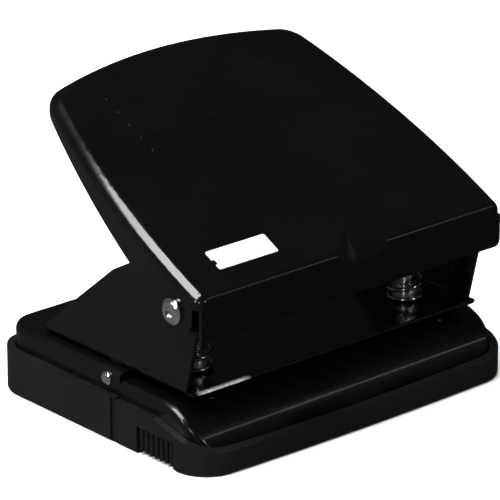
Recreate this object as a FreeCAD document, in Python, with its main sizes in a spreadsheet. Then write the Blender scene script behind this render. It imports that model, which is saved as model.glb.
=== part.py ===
"""Two-hole desk punch: pressed-steel lever, frame and base over a plastic chip tray.

Millimetres. The origin is on the table, under the middle of the tray. +X is right,
+Y runs from the paper side to the back, +Z is up. The lever is drawn raised, which is
how it rests.
"""
import FreeCAD, Part
import math
import os
from FreeCAD import Placement, Rotation, Vector
from Sketcher import Constraint

# alias, value, what it is
SIZES = (
    ("tray_width", 118.6, "chip tray, left to right"),
    ("tray_depth", 93.6, "chip tray, front to back"),
    ("tray_wall", 2.3, "side walls of the tray"),
    ("tray_floor", 1.8, "floor of the tray"),
    ("tray_bow", 1.4, "how far the middle of the tray's front stands forward"),
    ("tray_front_corner", 11.3, "radius of the tray's front corners"),
    ("tray_back_corner", 11.0, "radius of the tray's back corners"),
    ("tray_foot_round", 1.0, "rounding round the underside of the tray"),
    ("rim_back", 13.4, "height of the tray's rim along the back part"),
    ("rim_side", 12.9, "height of the rim where the front part starts to fall"),
    ("rim_front", 6.9, "height of the rim along the front"),
    ("rim_rise", 9.0, "length of the curve in which the rim falls"),
    ("joint_setback", 37.4, "front edge to the groove between the two parts of the rim"),
    ("joint_width", 2.7, "width of that groove"),
    ("joint_deep", 0.6, "depth of that groove"),
    ("rib_length", 6.0, "seats under the base shell, along the walls"),
    ("rib_wide", 3.0, "seats under the base shell, off the walls"),
    ("fit", 0.15, "gap between pieces that fit, such as the base shell in the tray"),
    ("seat_gap", 0.2, "gap under the base shell and round the sliding guide"),
    ("base_foot", 4.2, "height of the base shell's lower edge"),
    ("base_sheet", 1.0, "steel of the base shell"),
    ("base_corner", 9.2, "radius of the base shell's corners in plan"),
    ("base_edge", 1.7, "rounding along the base shell's upper edges"),
    ("slot_floor", 17.9, "height of the surface that the paper lies on"),
    ("slot_height", 2.3, "paper slot"),
    ("nose_radius", 17.7, "round front of the base shell"),
    ("stop_depth", 12.0, "hole centres to the paper stop"),
    ("pip_radius", 1.1, "hole-centre pips on the nose"),
    ("pip_setback", 15.8, "front edge to the pips"),
    ("pip_outward", 2.9, "pips from the punches, towards the sides"),
    ("frame_sheet", 1.2, "steel of the frame"),
    ("frame_bend", 1.8, "outer bend radius of the frame"),
    ("cheek_inset", 3.25, "base shell's side to the frame's side"),
    ("web_setback", 11.6, "front edge to the front of the frame's floor"),
    ("cheek_setback", 14.5, "front edge to the foot of the cheeks"),
    ("cheek_lean", 5.1, "how far the cheeks lean forward below the pivot"),
    ("cheek_length", 60.7, "foot of the cheeks, front to back"),
    ("cheek_heel", 3.2, "upright part at the back of the cheeks' feet"),
    ("cheek_top", 32.1, "height of the cheeks above the base"),
    ("cheek_flat", 24.1, "foot's front to the end of the cheeks' flat top"),
    ("cheek_round", 6.9, "radius of the cheeks round the pivot"),
    ("cheek_shoulder", 6.4, "length of the bevel behind the cheeks' flat top"),
    ("cheek_bevel", 3.6, "how far that bevel falls"),
    ("tab_width", 4.8, "tongues of the frame that the side screws hold"),
    ("tab_drop", 5.8, "length of those tongues"),
    ("screw_setback", 5.5, "paper stop to the side screws"),
    ("screw_drop", 2.9, "top of the base to the side screws"),
    ("screw_shank", 1.25, "radius of the side screws"),
    ("screw_head", 2.0, "radius of the side screws' heads"),
    ("nut_side", 3.4, "side screws' square nuts across flats"),
    ("nut_thick", 1.6, "thickness of the nuts"),
    ("pivot_setback", 15.3, "front edge to the lever's pivot"),
    ("pivot_rise", 26.0, "base's top to the lever's pivot"),
    ("pivot_shank", 2.2, "radius of the pivot pins"),
    ("pivot_head", 3.85, "radius of the pivot pins' heads"),
    ("pivot_dome", 1.5, "height of the rivets' heads over their washers"),
    ("collar_wall", 2.15, "wall of the collars between the ears and the cheeks"),
    ("pivot_play", 0.05, "radial play of the lever on its pins"),
    ("skirt_gap", 2.4, "frame's side to the inside of the lever"),
    ("lever_sheet", 0.9, "steel of the lever"),
    ("lever_angle", 25.2, "slope of the raised lever, degrees"),
    ("lever_rise", 10.0, "pivot to the lever's top face, square to it"),
    ("lever_reach", 10.7, "pivot to the lever's front, level"),
    ("lever_length", 79.6, "lever's front to its back corners, level"),
    ("lever_taper", 11.0, "how much nearer the middle the back corners are"),
    ("lever_bow", 3.7, "how far the sides bow out"),
    ("lever_crown", 6.2, "how far the back bows out"),
    ("lever_bend", 3.4, "outer bend radius of the lever"),
    ("lever_front_corner", 3.1, "front corners of the lever"),
    ("lever_back_corner", 9.4, "back corners of the lever"),
    ("skirt_middle_at", 28.8, "along the lever to where the skirt is measured"),
    ("skirt_middle", 11.2, "depth of the skirt there"),
    ("skirt_back", 3.1, "depth of the skirt at the back"),
    ("ear_radius", 7.6, "lever's ears round the pivot"),
    ("apron_drop", 12.7, "depth of the lever's front apron"),
    ("apron_corner", 2.0, "radius of the apron's lower corners"),
    ("relief_drop", 3.5, "front fold to the open corners beside the apron"),
    ("ridge_count", 5, "raised grip lines on the lever"),
    ("ridge_first", 55.1, "along the lever to the first grip line"),
    ("ridge_pitch", 5.6, "from grip line to grip line"),
    ("ridge_length", 62.4, "length of the grip lines"),
    ("ridge_proud", 0.15, "height of the grip lines"),
    ("dart_left", -7.8, "left end of the dart along the front fold"),
    ("dart_right", 13.5, "right end of the dart along the front fold"),
    ("dart_left_crease", 3.2, "left crease of the dart"),
    ("dart_right_crease", 7.9, "right crease of the dart"),
    ("dart_left_top", 8.3, "how far the left crease runs up the lever"),
    ("dart_right_top", 5.7, "how far the right crease runs up the lever"),
    ("dart_left_foot", 6.9, "how far the left crease runs down the apron"),
    ("dart_right_foot", 5.3, "how far the right crease runs down the apron"),
    ("dart_round", 0.8, "radius in the dart's two creases"),
    ("label_length", 21.3, "blank label, left to right"),
    ("label_width", 6.9, "blank label, front to back"),
    ("label_thick", 0.25, "label"),
    ("label_at", 32.5, "middle of the lever to the middle of the label"),
    ("label_along", 11.6, "along the lever to the middle of the label"),
    ("punch_spacing", 80.0, "hole centre to hole centre"),
    ("punch_setback", 26.7, "front edge to the hole centres"),
    ("punch_radius", 2.75, "radius of the punches"),
    ("punch_play", 0.04, "radial play of a punch in its bush and die"),
    ("punch_length", 27.1, "length of the punches"),
    ("punch_lift", 0.7, "tip of a raised punch above the slot"),
    ("punch_head", 4.6, "radius of a punch's head"),
    ("punch_head_thick", 2.3, "thickness of a punch's head"),
    ("seat_radius", 5.6, "radius of the spring seats"),
    ("seat_thick", 0.8, "thickness of the spring seats"),
    ("bush_radius", 3.8, "radius of the guide bushes"),
    ("bush_length", 5.3, "length of the guide bushes"),
    ("spring_radius", 4.9, "mean radius of the springs"),
    ("spring_wire", 1.3, "spring wire"),
    ("spring_turns", 6.5, "turns of each spring"),
    ("die_thick", 1.6, "die strip under the slot's floor"),
    ("die_width", 11.0, "die strip, front to back"),
    ("die_front", 4.4, "hole centres to the front of the die strip"),
    ("die_gap", 0.1, "paint gap over the die strip"),
    ("die_margin", 7.0, "hole centre to the end of the die strip"),
    ("die_rivet", 1.5, "radius of the die strip's rivets"),
    ("die_rivet_at", 28.0, "middle to the die strip's rivets"),
    ("nose_roll", 3.0, "radius of the press bar's rolled edge"),
    ("press_gap", 0.3, "rolled edge to the punches' heads"),
    ("press_ahead", 0.8, "how far the rolled edge starts in front of the punches"),
    ("press_sheet", 1.5, "steel of the press bar"),
    ("press_flange", 9.0, "press bar's welded flange"),
    ("press_end_gap", 2.2, "frame's inside to the ends of the press bar"),
    ("guide_setback", 12.9, "front edge to the notch for the sliding guide"),
    ("guide_notch", 15.8, "length of the notch"),
    ("guide_notch_top", 8.3, "height of the notch"),
    ("guide_notch_deep", 4.6, "depth of the notch, left to right"),
    ("guide_bar_width", 8.0, "sliding bar, front to back"),
    ("guide_bar_thick", 2.0, "sliding bar"),
    ("guide_gap", 0.3, "gap at the ends of the sliding guide"),
    ("guide_rail", 0.5, "rails on the tray's floor that carry the bar"),
    ("rail_length", 28.0, "each rail under the sliding guide"),
    ("rail_pitch", 55.0, "start of one rail to the start of the other"),
    ("fence", 1.5, "fences along the rails"),
    ("grip_thick", 2.5, "grip on the end of the bar"),
    ("grip_base", 1.2, "height of the grip's lower edge"),
    ("grip_teeth", 7, "ribs across the grip"),
)

doc = FreeCAD.newDocument("HolePunch")
sheet = doc.addObject("Spreadsheet::Sheet", "Sizes")
for row, (alias, value, meaning) in enumerate(SIZES, start=1):
    sheet.set("A%d" % row, meaning)
    sheet.set("B%d" % row, str(value))
    sheet.setAlias("B%d" % row, alias)
doc.recompute()

X_AXIS = Vector(1, 0, 0)
Y_AXIS = Vector(0, 1, 0)
Z_AXIS = Vector(0, 0, 1)
FAR = 200.0  # longer than the whole punch, for cutting tools that pass right through
SIDES = (("left", -1), ("right", 1))

# expressions that several sub-parts share
FRONT = "-Sizes.tray_depth / 2"
BASE_TOP = "(Sizes.slot_floor + Sizes.slot_height)"
WEB_TOP = "(Sizes.slot_floor + Sizes.slot_height + Sizes.frame_sheet)"
PUNCH_Y = "Sizes.punch_setback - Sizes.tray_depth / 2"
PIVOT_Z = "(Sizes.slot_floor + Sizes.slot_height + Sizes.pivot_rise)"
PUNCH_TIP = "(Sizes.slot_floor + Sizes.slot_height + Sizes.punch_lift)"
SHELL_HALF = "(Sizes.tray_width / 2 - Sizes.tray_wall - Sizes.fit)"
CHEEK_HALF = "(%s - Sizes.cheek_inset)" % SHELL_HALF


def size(alias):
    """The value of one cell of the sheet."""
    return float(getattr(sheet, alias))


# ---------------------------------------------------------------- places worked out from the sheet
front = -size("tray_depth") / 2
back = size("tray_depth") / 2
base_top = size("slot_floor") + size("slot_height")
web_top = base_top + size("frame_sheet")
shell_half = size("tray_width") / 2 - size("tray_wall") - size("fit")
shell_front = front + size("tray_bow") + size("tray_wall") + size("fit")
shell_back = back - size("tray_wall") - size("fit")
cheek_half = shell_half - size("cheek_inset")
cheek_inside = cheek_half - size("frame_sheet")
punch_half = size("punch_spacing") / 2
punch_y = front + size("punch_setback")
stop_y = punch_y + size("stop_depth")
screw_y = stop_y + size("screw_setback")
screw_z = base_top - size("screw_drop")
pivot = Vector(0, front + size("pivot_setback"), base_top + size("pivot_rise"))
slope = math.radians(size("lever_angle"))
lever_half = cheek_half + size("skirt_gap") + size("lever_sheet")
lever_front = pivot.y - size("lever_reach")
plate_along = Vector(0, math.cos(slope), math.sin(slope))
plate_up = Vector(0, -math.sin(slope), math.cos(slope))


def on_plate(along, depth, x=0.0):
    """A point of the lever: so far along its top face from the front fold, and so deep below."""
    rise = (size("lever_rise") - size("lever_reach") * math.sin(slope)) / math.cos(slope)
    fold = Vector(x, lever_front, pivot.z + rise)
    return fold + plate_along * along - plate_up * depth


# ---------------------------------------------------------------- building helpers
def keep(name, shape):
    """A sub-part whose shape is worked out with Part's own functions."""
    piece = doc.addObject("Part::Feature", name)
    piece.Shape = shape.removeSplitter()
    piece.Label = name
    return piece


def block(x0, x1, y0, y1, z0, z1):
    return Part.makeBox(x1 - x0, y1 - y0, z1 - z0, Vector(x0, y0, z0))


def rod(radius, start, direction, length):
    return Part.makeCylinder(radius, length, start, direction)


def side_prism(edges, half):
    """A profile in the YZ plane at X = 0, drawn out to both sides."""
    face = Part.Face(Part.Wire(edges))
    face.translate(Vector(-half, 0, 0))
    return face.extrude(X_AXIS * (2 * half))


def polyline(points):
    return [Part.LineSegment(a, b).toShape() for a, b in zip(points, points[1:])]


def yz(y, z):
    return Vector(0, y, z)


def upright_edges(shape, test):
    """The vertical edges of a prism whose middle passes a test."""
    chosen = []
    for edge in shape.Edges:
        box = edge.BoundBox
        if box.XLength < 1e-6 and box.YLength < 1e-6 and test(edge.CenterOfMass):
            chosen.append(edge)
    return chosen


def plane_of(body, role):
    return next(plane for plane in body.Origin.OriginFeatures if plane.Role == role)


def outline(body, name, role, corners):
    """A closed sketch on an origin plane, each corner held by a pair of sheet expressions."""
    sketch = body.newObject("Sketcher::SketchObject", name)
    sketch.AttachmentSupport = (plane_of(body, role), [""])
    sketch.MapMode = "FlatFace"
    doc.recompute()
    start = [Vector(sheet_value(x), sheet_value(y), 0) for x, y in corners]
    count = len(start)
    for i in range(count):
        sketch.addGeometry(Part.LineSegment(start[i], start[(i + 1) % count]), False)
    hold_corners(sketch, start)
    for i, (x, y) in enumerate(corners):
        sketch.setExpression("Constraints.x%d" % i, x)
        sketch.setExpression("Constraints.y%d" % i, y)
    doc.recompute()
    return sketch


def sheet_value(expression):
    """What an expression over the sheet comes to now."""
    return float(sheet.evalExpression(expression))


def hold_corners(sketch, start):
    """Joined corners, each placed from the sketch's origin."""
    for i in range(len(start)):
        sketch.addConstraint(Constraint("Coincident", i, 2, (i + 1) % len(start), 1))
    for i, point in enumerate(start):
        for letter, kind, value in (("x", "DistanceX", point.x), ("y", "DistanceY", point.y)):
            index = sketch.addConstraint(Constraint(kind, -1, 1, i, 1, value))
            sketch.renameConstraint(index, "%s%d" % (letter, i))


def new_body(name):
    body = doc.addObject("PartDesign::Body", name)
    body.Label = name
    return body


def plate(name, role, corners, thickness):
    """A flat piece: a sketch on an origin plane, padded."""
    body = new_body(name)
    pad = body.newObject("PartDesign::Pad", name + "_pad")
    pad.Profile = outline(body, name + "_sketch", role, corners)
    pad.setExpression("Length", thickness)
    body.Tip = pad
    doc.recompute()
    return body


def turned(name, corners):
    """A turned piece: half its section, as radius and height, spun round Z."""
    body = new_body(name)
    spin = body.newObject("PartDesign::Revolution", name + "_spin")
    section = outline(body, name + "_section", "XZ_Plane", corners)
    spin.Profile = section
    spin.ReferenceAxis = (section, ["V_Axis"])
    spin.Angle = 360
    body.Tip = spin
    doc.recompute()
    return body


def place(piece, x, y, z, rotation=None):
    """Moves a piece to sheet expressions, turned first if a rotation is given."""
    if rotation:
        piece.Placement = Placement(Vector(), rotation)
    for axis, expression in (("x", x), ("y", y), ("z", z)):
        piece.setExpression("Placement.Base." + axis, expression)
    return piece


def group(name, pieces):
    """Identical pieces that share one node, as separate solids."""
    together = doc.addObject("Part::Compound", name)
    together.Links = pieces
    together.Label = name
    return together


def facing(side):
    """Turns a piece made along +Z so that it points outwards along X."""
    return Rotation(Y_AXIS, 90 * side)


# ---------------------------------------------------------------- chip tray
def tray_block(inset, low, high):
    """Upright block with the tray's plan, drawn in by inset."""
    half = size("tray_width") / 2 - inset
    y_side = front + size("tray_bow") + inset
    bow = Part.Arc(Vector(-half, y_side, low), Vector(0, front + inset, low), Vector(half, y_side, low))
    edges = [bow.toShape()]
    edges += polyline([
        Vector(half, y_side, low),
        Vector(half, back - inset, low),
        Vector(-half, back - inset, low),
        Vector(-half, y_side, low),
    ])
    prism = Part.Face(Part.Wire(edges)).extrude(Z_AXIS * (high - low))
    corners = upright_edges(prism, lambda middle: middle.y < 0)
    prism = prism.makeFillet(size("tray_front_corner") - inset, corners)
    corners = upright_edges(prism, lambda middle: middle.y > back - inset - 0.01)
    return prism.makeFillet(size("tray_back_corner") - inset, corners)


RIM_KNEE = 0.62  # share of its fall that the rim has left at the guide


def above_rim():
    """Everything above the tray's rim: level at the back, falling in a curve to the front."""
    y_break = front + size("joint_setback") + size("joint_width") / 2
    y_fall = front + size("guide_setback")
    side = size("rim_side")
    low = size("rim_front")
    edges = polyline([
        yz(front - FAR, low), yz(front + 1, low),
    ])
    fallen = RIM_KNEE * (side - low)
    knee = yz(y_fall, low + fallen)
    edges.append(Part.Arc(yz(front + 1, low), knee, yz(y_fall + size("rim_rise"), side)).toShape())
    edges += polyline([
        yz(y_fall + size("rim_rise"), side),
        yz(y_break, side),
        yz(y_break, size("rim_back")),
        yz(back + FAR, size("rim_back")),
        yz(back + FAR, FAR),
        yz(front - FAR, FAR),
        yz(front - FAR, low),
    ])
    return side_prism(edges, FAR)


def make_tray():
    width = size("tray_width") / 2
    tray = tray_block(0, 0, size("rim_back"))
    bottom = [edge for edge in tray.Edges if edge.BoundBox.ZMax < 1e-6]
    tray = tray.makeFillet(size("tray_foot_round"), bottom)
    tray = tray.cut(tray_block(size("tray_wall"), size("tray_floor"), FAR))
    tray = tray.cut(above_rim())
    y_groove = front + size("joint_setback")
    for side in (-1, 1):
        x = side * width
        depth = size("joint_deep")
        tray = tray.cut(block(x - depth, x + depth, y_groove, y_groove + size("joint_width"), -1, FAR))
    tray = tray.cut(guide_notch(0, size("guide_notch_top")))
    return keep("chip_tray", tray.fuse(tray_ribs()))


INTO_WALL = 0.2  # how far a rib runs into its wall


def tray_ribs():
    """Seats for the base shell, and rails for the sliding guide."""
    inside = size("tray_width") / 2 - size("tray_wall")
    seat_top = size("base_foot") - size("seat_gap")
    low = size("tray_floor") / 2
    ribs = []
    length = size("rib_length")
    wide = size("rib_wide")
    y_wall = back - size("tray_wall")
    for x in (-inside + 8, inside - 8 - length):
        ribs.append(block(x, x + length, y_wall - wide, y_wall + INTO_WALL, low, seat_top))
    for y in (0, back - 22):
        ribs.append(block(inside - wide, inside + INTO_WALL, y, y + length, low, seat_top))
        ribs.append(block(-inside - INTO_WALL, -inside + wide, y, y + length, low, seat_top))
    rail_top = size("tray_floor") + size("guide_rail")
    y_bar = guide_bar_front()
    fence_top = rail_top + size("guide_bar_thick")
    rail_start = size("guide_notch_deep") - size("tray_width") / 2
    fence = size("fence")
    y_end = y_bar + size("guide_bar_width")
    for x in (rail_start, rail_start + size("rail_pitch")):
        x_end = x + size("rail_length")
        ribs.append(block(x, x_end, y_bar - fence, y_end + fence, low, rail_top))
        for y in (y_bar - fence, y_end + size("seat_gap")):
            ribs.append(block(x, x_end, y, y + fence - size("seat_gap"), low, fence_top))
    return ribs


def guide_bar_front():
    return front + size("guide_setback") + 1.4


# ---------------------------------------------------------------- base shell
def base_block(inset, foot):
    """The pressed base, drawn in by inset: round nose, slot floor, step up to the back."""
    half = shell_half - inset
    y0 = shell_front + inset
    y1 = shell_back - inset
    floor = size("slot_floor") - inset
    top = base_top - inset
    radius = size("nose_radius") - inset
    centre = yz(shell_front + size("nose_radius"), floor - radius)
    corner = math.sqrt(0.5) * radius
    nose_side = centre + Vector(0, -radius, 0)
    nose_middle = centre + Vector(0, -corner, corner)
    nose_top = centre + Vector(0, 0, radius)
    step = stop_y + inset
    edges = polyline([yz(y0, foot), nose_side]) if nose_side.z > foot else []
    if not edges:
        rise = foot - centre.z
        nose_side = centre + Vector(0, -math.sqrt(radius ** 2 - rise ** 2), rise)
        angle = (math.pi / 2 + math.asin(rise / radius)) / 2
        nose_middle = centre + Vector(0, -math.cos(angle), math.sin(angle)) * radius
    edges.append(Part.Arc(nose_side, nose_middle, nose_top).toShape())
    edges += polyline([
        nose_top,
        yz(step, floor),
        yz(step, top),
        yz(y1, top),
        yz(y1, foot),
        edges[0].Vertexes[0].Point if len(edges) > 1 else nose_side,
    ])
    profile = side_prism(edges, half)
    plan = block(-half, half, y0, y1, foot, FAR)
    plan = plan.makeFillet(size("base_corner") - inset, upright_edges(plan, lambda middle: True))
    return profile.common(plan)


def make_base_shell():
    foot = size("base_foot")
    sheet_steel = size("base_sheet")
    shell = base_block(0, foot)
    rounded = [
        edge for edge in shell.Edges
        if edge.BoundBox.ZMin > base_top - 0.01 and edge.BoundBox.YMax > stop_y + 1
    ]
    shell = shell.makeFillet(size("base_edge"), rounded)
    nose_sides = [
        edge for edge in shell.Edges
        if edge.BoundBox.YMax < stop_y + 0.01 and edge.BoundBox.ZMin > foot + sheet_steel
        and edge.BoundBox.XLength < 0.01 and edge.BoundBox.YLength > size("base_edge")
    ]
    shell = shell.makeFillet(size("base_edge"), nose_sides)
    inner = base_block(sheet_steel, foot - 2)
    shell = shell.cut(inner)
    hole = size("punch_radius") + size("punch_play")
    for side in (-1, 1):
        x = side * (punch_half + size("pip_outward"))
        pip = Part.makeSphere(size("pip_radius"), nose_point(x, size("pip_setback")))
        shell = shell.fuse(pip.common(block(x - 3, x + 3, front, 0, size("slot_floor") / 2, FAR)))
        x = side * punch_half
        shell = shell.cut(rod(hole, Vector(x, punch_y, foot), Z_AXIS, base_top))
        shell = shell.cut(tab_block(side, 0.2, -1, FAR))
        shell = shell.cut(rod(size("screw_shank") + 0.1, Vector(0, screw_y, screw_z), X_AXIS * side, FAR))
        rivet = Vector(side * size("die_rivet_at"), punch_y, foot)
        shell = shell.cut(rod(size("die_rivet"), rivet, Z_AXIS, base_top))
    gap = size("seat_gap")
    return keep("base_shell", shell.cut(guide_notch(gap, size("guide_notch_top") + gap)))


def guide_notch(gap, top):
    """Room for the sliding guide in the left side of the tray and of the base shell."""
    x = -size("tray_width") / 2
    y = front + size("guide_setback") - gap
    return block(x - 1, x + size("guide_notch_deep"), y, y + size("guide_notch") + 2 * gap, -1, top)


def nose_point(x, setback):
    """A point of the base's round nose, so far from the tray's front edge."""
    radius = size("nose_radius")
    y = front + setback
    behind = shell_front + radius - y
    return Vector(x, y, size("slot_floor") - radius + math.sqrt(radius ** 2 - behind ** 2) - 0.55)


def tab_block(side, gap, low, high):
    """A frame tongue, or the slit it passes through."""
    x = sorted((side * (cheek_half + gap), side * (cheek_inside - gap)))
    half = size("tab_width") / 2 + gap
    return block(x[0], x[1], screw_y - half, screw_y + half, low, high)


# ---------------------------------------------------------------- frame
def cheek_profile():
    """One cheek from the side: leaning front, round ear at the pivot, long slope at the back."""
    foot = front + size("cheek_setback")
    heel = foot + size("cheek_length")
    top = base_top + size("cheek_top")
    ear = size("cheek_round")
    lean_top = yz(foot - size("cheek_lean"), pivot.z - ear * 0.75)
    flat_stop = foot + size("cheek_flat")
    ear_front = yz(pivot.y - ear, pivot.z)
    ear_middle = yz(pivot.y - ear * math.sqrt(0.5), pivot.z + ear * math.sqrt(0.5))
    ear_top = yz(pivot.y, pivot.z + ear)
    edges = polyline([yz(foot, base_top), lean_top, ear_front])
    edges.append(Part.Arc(ear_front, ear_middle, ear_top).toShape())
    edges += polyline([
        ear_top,
        yz(flat_stop, top),
        yz(flat_stop + size("cheek_shoulder"), top - size("cheek_bevel")),
        yz(heel, base_top + size("cheek_heel")),
        yz(heel, base_top),
        yz(foot, base_top),
    ])
    return edges


def channel(half, low, radius):
    """A long block with its two lower edges rounded: the outside or the inside of the bent frame."""
    long_block = block(-half, half, front - 1, back + 1, low, FAR)
    lower = [
        edge for edge in long_block.Edges
        if edge.BoundBox.ZMax < low + 0.01 and edge.BoundBox.XLength < 0.01
    ]
    return long_block.makeFillet(radius, lower)


def make_frame():
    half = cheek_half
    web_front = front + size("web_setback")
    floor = block(-half, half, web_front, pivot.y, base_top, web_top)
    nose = [
        edge for edge in floor.Edges
        if edge.BoundBox.YMax < web_front + 0.01 and edge.BoundBox.XLength > half
    ]
    floor = floor.makeFillet(size("frame_sheet") * 0.45, nose)
    solid = side_prism(cheek_profile(), half).fuse(floor)
    solid = solid.common(channel(half, base_top, size("frame_bend")))
    room = channel(cheek_inside, web_top, size("frame_bend") - size("frame_sheet"))
    frame = solid.cut(room)
    for side in (-1, 1):
        tab_low = base_top - size("tab_drop")
        frame = frame.fuse(tab_block(side, 0, tab_low, web_top + 2))
        frame = frame.cut(rod(size("screw_shank") + 0.05, Vector(0, screw_y, screw_z), X_AXIS * side, FAR))
        frame = frame.cut(rod(size("pivot_shank"), Vector(0, pivot.y, pivot.z), X_AXIS * side, FAR))
        bush = Vector(side * punch_half, punch_y, base_top - 1)
        frame = frame.cut(rod(size("bush_radius"), bush, Z_AXIS, size("frame_sheet") + 2))
    return keep("frame", frame)


# ---------------------------------------------------------------- lever
def lever_block(inset):
    """The lever's plan as an upright block under its slope, drawn in by inset.

    Its bowed sides pass through lever_half at the pivot, where the rivets' heads and the collars seat.
    """
    back_share = (pivot.y - lever_front) / size("lever_length")
    drawn_in = size("lever_taper") * back_share
    bowed_out = 4 * size("lever_bow") * back_share * (1 - back_share)
    wide = lever_half + drawn_in - bowed_out - inset
    narrow = wide - size("lever_taper")
    y0 = lever_front + inset
    y1 = lever_front + size("lever_length") - inset
    middle = (wide + narrow) / 2 + size("lever_bow")
    corner = [Vector(-wide, y0, 0), Vector(wide, y0, 0), Vector(narrow, y1, 0), Vector(-narrow, y1, 0)]
    edges = [
        Part.LineSegment(corner[0], corner[1]).toShape(),
        Part.Arc(corner[1], Vector(middle, (y0 + y1) / 2, 0), corner[2]).toShape(),
        Part.Arc(corner[2], Vector(0, y1 + size("lever_crown"), 0), corner[3]).toShape(),
        Part.Arc(corner[3], Vector(-middle, (y0 + y1) / 2, 0), corner[0]).toShape(),
    ]
    prism = Part.Face(Part.Wire(edges)).extrude(Z_AXIS * FAR)
    radius = {True: size("lever_front_corner"), False: size("lever_back_corner")}
    for is_front in (True, False):
        chosen = upright_edges(prism, lambda spot: (spot.y < 0) == is_front)
        prism = prism.makeFillet(radius[is_front] - inset, chosen)
    lid = Part.makeBox(2 * FAR, 2 * FAR, 2 * FAR, Vector(-FAR, -FAR, 0))
    lid.rotate(Vector(), X_AXIS, size("lever_angle"))
    lid.translate(on_plate(0, inset))
    prism = prism.cut(lid)
    rim = [
        edge for edge in prism.Edges
        if all(abs((v.Point - on_plate(0, inset)).dot(plate_up)) < 1e-4 for v in edge.Vertexes)
    ]
    return prism.makeFillet(size("lever_bend") - inset, rim).cut(dart(inset))


def outside(spots, inset):
    """A big block standing on the plane through three points, on the outer side of the lever."""
    normal = (spots[1] - spots[0]).cross(spots[2] - spots[0]).normalize()
    if normal.dot(plate_up - Y_AXIS) < 0:
        normal = -normal
    slab = Part.makeBox(2 * FAR, 2 * FAR, 2 * FAR, Vector(-FAR, -FAR, 0))
    slab.Placement = Placement(spots[0] - normal * inset, Rotation(Z_AXIS, normal))
    return slab


def dart(inset):
    """Dart pressed into the front fold: a sloping floor between two walls."""
    fold = on_plate(0, 0)
    ends = [Vector(size("dart_" + side), fold.y, fold.z) for side, _ in SIDES]
    tops = []
    feet = []
    for side, _ in SIDES:
        x = size("dart_%s_crease" % side)
        tops.append(on_plate(size("dart_%s_top" % side), 0, x))
        feet.append(Vector(x, fold.y, fold.z - size("dart_%s_foot" % side)))
    floor = outside((tops[0], feet[0], feet[1]), inset)
    walls = [outside((ends[i], tops[i], feet[i]), inset) for i in range(2)]
    pressed = floor.common(walls[0]).common(walls[1])
    reach = 2 * size("lever_sheet")
    creases = [
        edge for edge in pressed.Edges
        if any(Part.Vertex(foot).distToShape(edge)[0] < reach for foot in feet)
    ]
    return pressed.makeFillet(size("dart_round") + inset, creases)


def tangent_from(point, centre, radius):
    """Where the lower tangent from a point behind a circle touches it, in the YZ plane."""
    away = point - centre
    turn = math.acos(radius / away.Length)
    angle = math.atan2(away.z, away.y) - turn
    return centre + yz(math.cos(angle), math.sin(angle)) * radius


def skirt_zone():
    """What is left of the sides after trimming: open corners, round ears, rising lower edge."""
    relief = on_plate(0, 0).z - size("relief_drop")
    ear = size("ear_radius")
    middle = on_plate(size("skirt_middle_at"), size("skirt_middle"))
    plate_end = (size("lever_length") + size("lever_crown")) / math.cos(slope)
    end = on_plate(plate_end + 8, size("skirt_back"))
    touch = tangent_from(middle, pivot, ear)
    ahead = yz(lever_front - 5, relief)
    edges = polyline([
        ahead,
        yz(lever_front - 5, FAR),
        yz(end.y, FAR),
        end,
        middle,
        touch,
        pivot,
        yz(pivot.y - ear * 0.6, pivot.z),
        yz(pivot.y - ear * 0.6, relief),
        ahead,
    ])
    zone = side_prism(edges, FAR)
    round_ear = rod(ear, pivot - X_AXIS * FAR, X_AXIS, 2 * FAR)
    neck = block(-FAR, FAR, pivot.y - ear, pivot.y, pivot.z, relief + 1)
    return zone.fuse([round_ear, neck])


def make_lever():
    thick = size("lever_sheet")
    shell = lever_block(0).cut(lever_block(thick))
    shell = shell.common(skirt_zone())
    low = on_plate(0, 0).z - size("apron_drop")
    relief = on_plate(0, 0).z - size("relief_drop")
    apron_half = lever_half - thick
    apron = block(-apron_half, apron_half, lever_front, lever_front + thick, low, relief + 0.5)
    lower_corners = [
        edge for edge in apron.Edges
        if edge.BoundBox.ZMax < low + 0.01 and edge.BoundBox.YLength > thick / 2
    ]
    shell = shell.fuse(apron.makeFillet(size("apron_corner"), lower_corners))
    hole = size("pivot_shank") + size("pivot_play")
    shell = shell.cut(rod(hole, pivot - X_AXIS * FAR, X_AXIS, 2 * FAR))
    return keep("lever_shell", shell.fuse(grip_lines()))


def grip_lines():
    """Raised lines across the back of the lever."""
    radius = 1.2
    lines = []
    for i in range(int(size("ridge_count"))):
        along = size("ridge_first") + i * size("ridge_pitch")
        sunk = radius - size("ridge_proud")
        start = on_plate(along, sunk, -size("ridge_length") / 2)
        line = rod(radius, start, X_AXIS, size("ridge_length"))
        below = Part.makeBox(FAR, FAR, FAR, Vector(-FAR / 2, -FAR / 2, -FAR))
        below.rotate(Vector(), X_AXIS, size("lever_angle"))
        below.translate(on_plate(along, size("lever_sheet") / 2))
        lines.append(line.cut(below))
    return lines


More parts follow.
